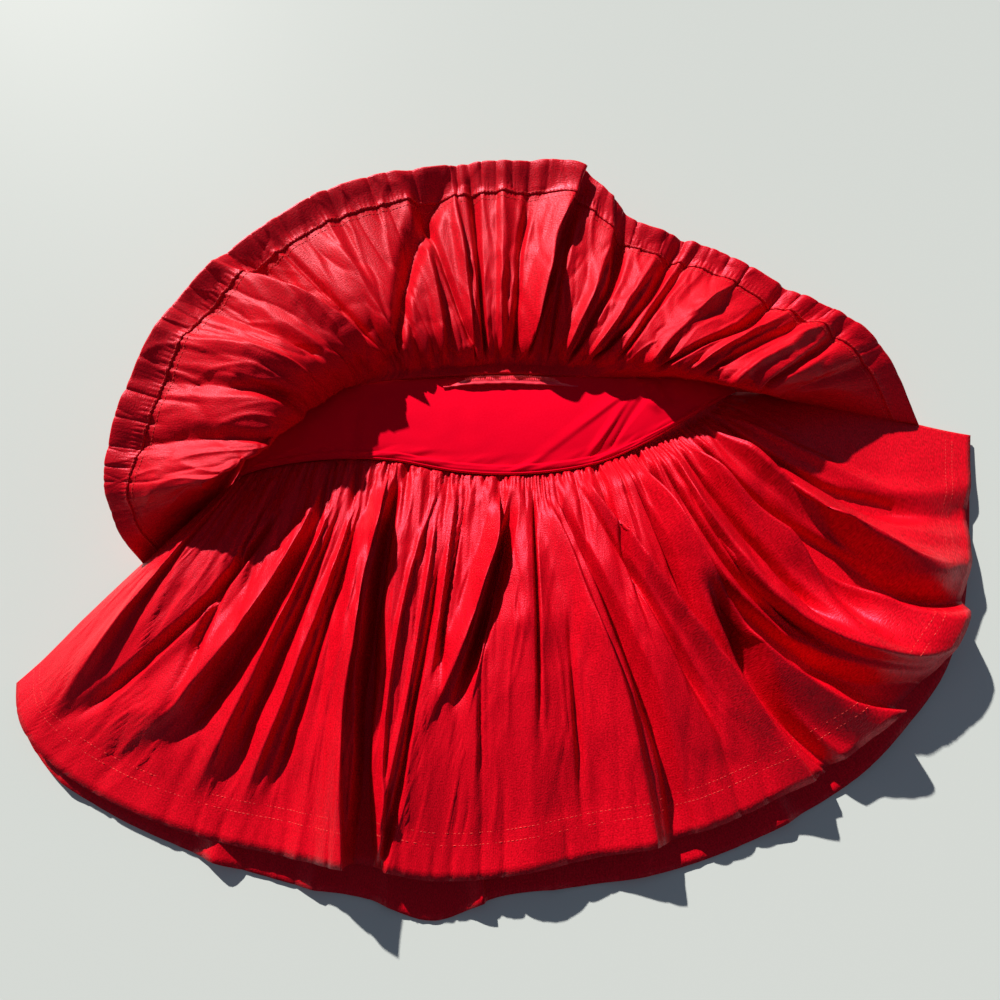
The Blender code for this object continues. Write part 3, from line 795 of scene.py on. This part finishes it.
def upper_back(share, row):
    turn = along(share, "roll_row")
    bend = edge(share, "roll") - between(edge(share, "waist"), edge(share, "up"), turn)
    near_side = 1 - ease(np.minimum(share, 1 - share) / 0.10)
    bulge = bend * (near_side * np.interp(row, (0, 0.3, 1), (0, 1, 0)))[..., None]
    plan = between(edge(share, "waist"), edge(share, "under"), row) + bulge
    past_side = UNDERLAP * np.sin(np.pi * np.clip(row / 0.8, 0, 1)) * near_side
    plan += past_side[..., None] * np.where(share[..., None] < 0.5, (-1, 0), (0, 1))
    relief = pleated(UNDER_PLEATS, share, row, WAIST_LENGTH, UP_LENGTH)
    top = UNDER_TIER_TOP + side_rise(share) * np.maximum(relief + UNDER_LOFT, -0.7)
    return np.dstack([plan, top]), np.dstack([share * UNDER_CUT, row * UNDER_CUT_DEPTH])


cloth_sheet("upper_tier_back_cloth", *upper_back(*grid(columns=240, rows=24)))

# %% [markdown]
# ## The waist seam's overlocked edge
#
# Where the tier turns back, the trimmed edge of the waist seam lies over the yoke at a low slant and
# catches the light. It is a narrow strip of its own, because its looped thread is what shows. Towards its
# two ends it flattens and slips under the tier's shadow.

# %% Shape the seam allowance
ALLOWANCE_FROM, ALLOWANCE_TO = 0.46, 0.69
ALLOWANCE_HEIGHT = 2.8
ALLOWANCE_LEAN = 7.0
EDGE_WEAVE = (200, 6)
EDGE_CLOTH = 0.8


def allowance(share, row):
    at = ALLOWANCE_FROM + (ALLOWANCE_TO - ALLOWANCE_FROM) * share
    taper = ease(np.minimum(share, 1 - share) / 0.25)
    height = (0.8 + (ALLOWANCE_HEIGHT - 0.8) * taper) * row
    lean = 0.9 + ALLOWANCE_LEAN * (1 - taper * (1 - row)) + 0.25 * lattice_noise(share * 30, row * 2, 95)
    plan = edge(at, "waist") + towards_yoke(at) * lean[..., None]
    top = waist_top(at) + LAYER_GAP + 0.9 + height + 0.3 * lattice_noise(share * 25, row, 96)
    return np.dstack([plan, top]), np.dstack([share, row]) * EDGE_WEAVE


cloth_sheet("waist_seam_edge", *allowance(*grid(columns=240, rows=8)), EDGE_CLOTH)

# %% [markdown]
# ## Weave and slubs
#
# Taffeta shows its threads as a fine grain, with slubs: thicker stretches of thread that run along the
# weave in both directions. One shader group makes that from two stretched noises and an even one, and each
# cloth uses it with its own values. The group only puts out a tone and a height. The shader stays in the
# material, and its highlight is tinted, because silky red cloth shines red.

# %% The weave group


def group_socket(group, name, kind, value=None, out=False):
    way = "OUTPUT" if out else "INPUT"
    socket = group.interface.new_socket(name, in_out=way, socket_type="NodeSocket" + kind)
    if value is not None:
        socket.default_value = value


def new_node(tree, kind, values=None, **settings):
    """A new node of this kind, with its settings and with values for some of its inputs."""
    made = tree.nodes.new(kind)
    for name, setting in settings.items():
        setattr(made, name, setting)
    for socket, value in (values or {}).items():
        made.inputs[socket].default_value = value
    return made


def connect(tree, *links):
    """Links in a tree, each given as a node and its output, then a node and its input."""
    for start, output, end, entry in links:
        tree.links.new(start.outputs[output], end.inputs[entry])


def stretched_noise(group, inside, scale, detail):
    """A noise whose scale differs along the two directions of the cloth. Scales are per metre."""
    mapping = new_node(group, "ShaderNodeMapping", {"Scale": (*scale, 1)})
    noise = new_node(group, "ShaderNodeTexNoise", {"Scale": 1.0, "Detail": detail})
    connect(group, (inside, "Vector", mapping, "Vector"), (mapping, "Vector", noise, "Vector"))
    return noise


WARP_SHARE, WEFT_SHARE = 0.7, 0.3


def weave_group():
    group = bpy.data.node_groups.new("woven grain", "ShaderNodeTree")
    group_socket(group, "Vector", "Vector")
    group_socket(group, "Slub", "Float", 0.5)
    group_socket(group, "Tone", "Float", out=True)
    group_socket(group, "Height", "Float", out=True)
    inside, outside = new_node(group, "NodeGroupInput"), new_node(group, "NodeGroupOutput")
    weft = stretched_noise(group, inside, (300, 1100), 3)
    warp = stretched_noise(group, inside, (1200, 200), 3)
    grain = stretched_noise(group, inside, (1000, 1000), 2)
    some_weft = new_node(group, "ShaderNodeMath", {1: WEFT_SHARE}, operation="MULTIPLY")
    both = new_node(group, "ShaderNodeMath", {1: WARP_SHARE}, operation="MULTIPLY_ADD")
    threads = new_node(group, "ShaderNodeMix")
    connect(
        group,
        (weft, "Fac", some_weft, 0),
        (warp, "Fac", both, 0),
        (some_weft, 0, both, 2),
        (inside, "Slub", threads, "Factor"),
        (grain, "Fac", threads, "A"),
        (both, 0, threads, "B"),
        (threads, "Result", outside, "Tone"),
        (threads, "Result", outside, "Height"),
    )
    return group


WEAVE = weave_group()
print("weave group has", len(WEAVE.nodes), "nodes")

# %% Cloth materials
Finish = namedtuple("Finish", "dark light roughness specular tint slub bump")
TAFFETA = Finish((0.38, 0.000, 0.002), (0.80, 0.002, 0.014), 0.41, 0.72, (1.00, 0.10, 0.21), 0.45, 0.90)
WRONG_SIDE = Finish((0.38, 0.000, 0.002), (0.80, 0.002, 0.014), 0.47, 0.42, (1.00, 0.10, 0.21), 0.45, 0.90)
JERSEY = Finish((0.76, 0.000, 0.014), (0.80, 0.000, 0.018), 0.90, 0.10, (1.00, 0.10, 0.20), 0.20, 0.04)
THREAD = Finish((0.75, 0.010, 0.030), (0.85, 0.040, 0.070), 0.60, 0.50, (1.00, 0.30, 0.40), 0.50, 0.00)
ROUGHNESS_RANGE = 0.08
BUMP_DISTANCE = 0.0005


def new_material(name, values):
    """A material and its shader, with values for some of the shader's own sockets."""
    made = bpy.data.materials.new(name)
    made.use_nodes = True
    shader = made.node_tree.nodes["Principled BSDF"]
    for socket, value in values.items():
        shader.inputs[socket].default_value = value
    return made, shader


def cloth_material(name, finish):
    shine = {"Specular IOR Level": finish.specular, "Specular Tint": (*finish.tint, 1)}
    made, shader = new_material(name, shine)
    tree = made.node_tree
    uv = new_node(tree, "ShaderNodeUVMap", uv_map="cut")
    weave = new_node(tree, "ShaderNodeGroup", {"Slub": finish.slub}, node_tree=WEAVE)
    tone = new_node(tree, "ShaderNodeMapRange", {"From Min": 0.36, "From Max": 0.64})
    tones = {"A": (*finish.dark, 1), "B": (*finish.light, 1)}
    colour = new_node(tree, "ShaderNodeMix", tones, data_type="RGBA")
    limits = {"To Min": finish.roughness + ROUGHNESS_RANGE, "To Max": finish.roughness - ROUGHNESS_RANGE}
    rough = new_node(tree, "ShaderNodeMapRange", limits)
    bump = new_node(tree, "ShaderNodeBump", {"Strength": finish.bump, "Distance": BUMP_DISTANCE})
    connect(
        tree,
        (uv, "UV", weave, "Vector"),
        (weave, "Tone", tone, "Value"),
        (tone, "Result", colour, "Factor"),
        (colour, "Result", shader, "Base Color"),
        (tone, "Result", rough, "Value"),
        (rough, "Result", shader, "Roughness"),
        (weave, "Height", bump, "Height"),
        (bump, "Normal", shader, "Normal"),
    )
    return made


taffeta = cloth_material("taffeta", TAFFETA)
wrong_side = cloth_material("taffeta_wrong_side", WRONG_SIDE)
jersey = cloth_material("jersey", JERSEY)
edge_thread = cloth_material("overlock_thread", THREAD)
WEARS = {
    "yoke_front_cloth": jersey,
    "yoke_back_cloth": jersey,
    "upper_tier_front_cloth": wrong_side,
    "waistband_front_cloth": wrong_side,
    "waist_seam_edge": edge_thread,
}
for name, piece in pieces.items():
    piece.data.materials.append(WEARS.get(name, taffeta))
print("four cloth materials on", len(pieces), "pieces")

# %% [markdown]
# ## Stitches
#
# A twin row of topstitching holds each hem, about 25 mm from its edge. Every stitch is a short length of
# thread, so it is one small capsule that follows the cloth. Geometry Nodes place them: a line that is drawn
# on the cloth is resampled at the stitches' pitch, and a capsule is set on each point, along the line. The
# same tree makes the loops of the overlocked waist seam, with its capsules turned across the line and
# tilted to the slant of that seam's edge.

# %% The stitch tree
STITCH_SIZES = {
    "Pitch": 0.0026,
    "Stitch Length": 0.0019,
    "Thread Width": 0.00042,
    "Turn": 0.0,
    "Tilt": 0.0,
    "Unevenness": 0.12,
}


def stitch_tree():
    tree = bpy.data.node_groups.new("row of stitches", "GeometryNodeTree")
    group_socket(tree, "Geometry", "Geometry")
    for name, value in STITCH_SIZES.items():
        group_socket(tree, name, "Float", value)
    group_socket(tree, "Seed", "Int", 3)
    group_socket(tree, "Material", "Material")
    group_socket(tree, "Geometry", "Geometry", out=True)
    inside, outside = new_node(tree, "NodeGroupInput"), new_node(tree, "NodeGroupOutput")
    curve = new_node(tree, "GeometryNodeMeshToCurve")
    upright = new_node(tree, "GeometryNodeSetCurveNormal", mode="Z_UP")
    resample = new_node(tree, "GeometryNodeResampleCurve", mode="LENGTH")
    places = new_node(tree, "GeometryNodeCurveToPoints", mode="EVALUATED")
    ball = {"Segments": 6, "Rings": 4, "Radius": 0.5}
    capsule = new_node(tree, "GeometryNodeMeshUVSphere", ball)
    size, turn = new_node(tree, "ShaderNodeCombineXYZ"), new_node(tree, "ShaderNodeCombineXYZ")
    shaped, turned = new_node(tree, "GeometryNodeTransform"), new_node(tree, "GeometryNodeTransform")
    chance = new_node(tree, "FunctionNodeRandomValue")
    least = new_node(tree, "ShaderNodeMath", {0: 1.0}, operation="SUBTRACT")
    most = new_node(tree, "ShaderNodeMath", {0: 1.0}, operation="ADD")
    placed = new_node(tree, "GeometryNodeInstanceOnPoints")
    real = new_node(tree, "GeometryNodeRealizeInstances")
    painted = new_node(tree, "GeometryNodeSetMaterial")
    connect(
        tree,
        (inside, "Geometry", curve, "Mesh"),
        (curve, "Curve", upright, "Curve"),
        (upright, "Curve", resample, "Curve"),
        (inside, "Pitch", resample, "Length"),
        (resample, "Curve", places, "Curve"),
        (inside, "Thread Width", size, "X"),
        (inside, "Thread Width", size, "Y"),
        (inside, "Stitch Length", size, "Z"),
        (size, "Vector", shaped, "Scale"),
        (capsule, "Mesh", shaped, "Geometry"),
        (inside, "Turn", turn, "X"),
        (inside, "Tilt", turn, "Z"),
        (turn, "Vector", turned, "Rotation"),
        (shaped, "Geometry", turned, "Geometry"),
        (turned, "Geometry", placed, "Instance"),
        (places, "Points", placed, "Points"),
        (places, "Rotation", placed, "Rotation"),
        (inside, "Unevenness", least, 1),
        (inside, "Unevenness", most, 1),
        (least, 0, chance, 2),
        (most, 0, chance, 3),
        (inside, "Seed", chance, "Seed"),
        (chance, 1, placed, "Scale"),
        (placed, "Instances", real, "Geometry"),
        (real, "Geometry", painted, "Geometry"),
        (inside, "Material", painted, "Material"),
        (painted, "Geometry", outside, "Geometry"),
    )
    return tree


STITCHES = stitch_tree()
print("stitch tree has", len(STITCHES.nodes), "nodes")

# %% [markdown]
# The thread is plain lighter red polyester. Stitches are too small for a weave to show on them, so this
# material keeps only a fine change of tone along the thread.

# %% Thread material
THREAD_TINT = (1.0, 0.30, 0.35, 1)
stitch_thread, shader = new_material("stitch_thread", {"Roughness": 0.55, "Specular Tint": THREAD_TINT})
tree = stitch_thread.node_tree
place = new_node(tree, "ShaderNodeTexCoord")
noise = new_node(tree, "ShaderNodeTexNoise", {"Scale": 900.0})
tones = {"A": (0.62, 0.020, 0.018, 1), "B": (0.90, 0.075, 0.060, 1)}
colour = new_node(tree, "ShaderNodeMix", tones, data_type="RGBA")
connect(
    tree,
    (place, "Object", noise, "Vector"),
    (noise, "Fac", colour, "Factor"),
    (colour, "Result", shader, "Base Color"),
)
print("stitch thread has", len(tree.nodes), "nodes")

# %% Sew rows of stitches


def stitched(name, lines, **values):
    """A piece made of stitches along lines of points in drawing millimetres."""
    mesh = bpy.data.meshes.new(name + " lines")
    edges, start = [], 0
    for line in lines:
        edges += [(start + i, start + i + 1) for i in range(len(line) - 1)]
        start += len(line)
    mesh.from_pydata(in_metres(np.vstack(lines)).tolist(), edges, [])
    drawn = new_object(name + " lines", mesh)
    sewing = drawn.modifiers.new("stitches", "NODES")
    sewing.node_group = STITCHES
    inputs = [item for item in STITCHES.interface.items_tree if item.in_out == "INPUT"]
    sockets = {item.name: item.identifier for item in inputs}
    for socket, value in {"Material": stitch_thread, **values}.items():
        sewing[sockets[socket]] = value
    bpy.context.view_layer.update()
    graph = bpy.context.evaluated_depsgraph_get()
    result = bpy.data.meshes.new_from_object(drawn.evaluated_get(graph))
    bpy.data.objects.remove(drawn)
    result.name = name
    result.shade_smooth()
    pieces[name] = new_object(name, result)
    print(f"{name}: {len(result.polygons)} faces")


def seam_line(panel, cut_depth, from_edge, above):
    """A line on a panel, at a distance from its cut edge and a little above its cloth, in millimetres."""
    rows = 1 - (from_edge + np.array((1, 0, -1))) / cut_depth
    points, _ = panel(*np.meshgrid(np.linspace(FIRST, LAST, SEAM_POINTS), rows))
    return points[1] + normals_of(points)[1] * above


SEAM_POINTS = 1500
THREAD_ABOVE = 0.12
ALLOWANCE_ABOVE = CLOTH + 0.25
INSIDE_ALLOWANCE = 1.6
for side, panel, seed in (("front", lower_front, 3), ("back", lower_back, 4)):
    rows = [
        seam_line(panel, LOWER_CUT_DEPTH, at, THREAD_ABOVE) for at in (HEM_DEPTH, HEM_DEPTH - TWIN_ROWS)
    ]
    stitched(f"lower_{side}_hem_stitches", rows, Seed=seed)
inner_row = HEM_DEPTH - INSIDE_ALLOWANCE
rows = [
    seam_line(upper_front, UPPER_CUT_DEPTH, inner_row, ALLOWANCE_ABOVE),
    seam_line(upper_front, UPPER_CUT_DEPTH, inner_row + TWIN_ROWS, THREAD_ABOVE),
]
stitched("upper_hem_stitches", rows, Seed=5)

# %% Overlock the waist seam's edge
LOOPS = {"Pitch": 0.0012, "Stitch Length": 0.0062, "Thread Width": 0.0007, "Turn": math.radians(90)}
loop_points, _ = allowance(*np.meshgrid(np.linspace(0.17, 0.83, 300), (0.45, 0.55)))
loop_tilt = -math.atan2(ALLOWANCE_HEIGHT, ALLOWANCE_LEAN)
stitched("waist_seam_overlock", [loop_points[0] + (0, 0, 0.3)], Tilt=loop_tilt, Seed=6, **LOOPS)

# %% [markdown]
# ## Table, light and camera
#
# The camera stands where a phone was held: 480 mm above the table, in front of the hem, tilted 72 degrees
# down. The light comes from behind and from the left, low enough to draw every fold.

# %% Camera
CAMERA_HEIGHT = 480.0
CAMERA_TILT = 72.0
LENS = 27.04

camera = new_object("camera", bpy.data.cameras.new("camera"))
camera.data.sensor_width = 36
camera.data.lens = LENS
camera.location = (DRAWING_X * MM, DRAWING_Y * MM, CAMERA_HEIGHT * MM)
camera.rotation_euler = (math.radians(90 - CAMERA_TILT), 0, 0)
bpy.context.scene.camera = camera
print(f"the camera is {CAMERA_HEIGHT:.0f} mm up and looks {CAMERA_TILT:.0f} degrees down")

# %% Light
SUN_AZIMUTH, SUN_ELEVATION = 30.0, 31.0
key = new_object("key", bpy.data.lights.new("key", "SUN"))
key.data.energy = 6.6
key.data.angle = math.radians(1.2)
key.data.color = (1.0, 0.97, 0.93)
key.rotation_euler = (0, -math.radians(90 - SUN_ELEVATION), -math.radians(90 - SUN_AZIMUTH))

world = bpy.data.worlds.new("room")
world.use_nodes = True
background = world.node_tree.nodes["Background"]
background.inputs["Color"].default_value = (0.64, 0.76, 1.0, 1)
background.inputs["Strength"].default_value = 0.18
bpy.context.scene.world = world
bpy.context.scene.view_settings.view_transform = "Standard"

# %% Table
TABLE_REACH = 3.0
CORNERS = ((-1, -1), (1, -1), (1, 1), (-1, 1))
table_mesh = bpy.data.meshes.new("table")
table_mesh.from_pydata([(x * TABLE_REACH, y * TABLE_REACH, 0) for x, y in CORNERS], [], [(0, 1, 2, 3)])
table = new_object("table", table_mesh)
table.location.z = -0.0002
matte = {"Base Color": (0.56, 0.59, 0.56, 1), "Roughness": 0.60, "Specular IOR Level": 0.10}
surface, _ = new_material("table", matte)
table_mesh.materials.append(surface)

for name, piece in pieces.items():
    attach(piece, "root")
    if name.endswith("_cloth"):
        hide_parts(name.removesuffix("_cloth"))
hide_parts("waist_seam_allowance")
print(len(pieces), "pieces ride on the root body")

Sheet = namedtuple("Sheet", "width depth held rests_on sewing area", defaults=([], None))
EDGE_CUT, EDGE_AREA = (128.0, 10.0), 520.0
SHEETS = {
    "lower_tier_front_cloth": (
        LOWER_CUT, LOWER_CUT_DEPTH, "gathered", "lower_tier_back_cloth", ["lower_front_hem_stitches"]
    ),
    "lower_tier_back_cloth": (
        LOWER_CUT, LOWER_CUT_DEPTH, "gathered", "upper_tier_back_cloth", ["lower_back_hem_stitches"]
    ),
    "upper_tier_front_cloth": (
        UPPER_CUT, UPPER_CUT_DEPTH, "gathered", "waistband_front_cloth", ["upper_hem_stitches"]
    ),
    "upper_hem_allowance": (UPPER_CUT, HEM_DEPTH, "folded", "upper_tier_front_cloth"),
    "upper_tier_back_cloth": (UNDER_CUT, UNDER_CUT_DEPTH, "laid", "table"),
    "yoke_front_cloth": (360.0, YOKE_DEPTH, "laid", "yoke_back_cloth"),
    "yoke_back_cloth": (360.0, YOKE_DEPTH, "laid", "upper_tier_back_cloth"),
    "waistband_front_cloth": (330.0, BAND_DEPTH, "laid", "waistband_back_cloth"),
    "waistband_back_cloth": (330.0, BAND_DEPTH, "laid", "upper_tier_back_cloth"),
    "waist_seam_edge": (
        *EDGE_CUT, "gathered", "waistband_front_cloth", ["waist_seam_overlock"], EDGE_AREA
    ),
}


def cloth_area(piece):
    """Half the area of the closed sheet, which has two sides, in square metres."""
    graph = bpy.context.evaluated_depsgraph_get()
    mesh = piece.evaluated_get(graph).to_mesh()
    return sum(face.area for face in mesh.polygons) / 2


for name, values in SHEETS.items():
    sheet = Sheet(*values)
    flat = (sheet.width * MM, sheet.depth * MM)
    print(f"{name}: {cloth_area(pieces[name]) / (flat[0] * flat[1]):.2f} of its flat area")
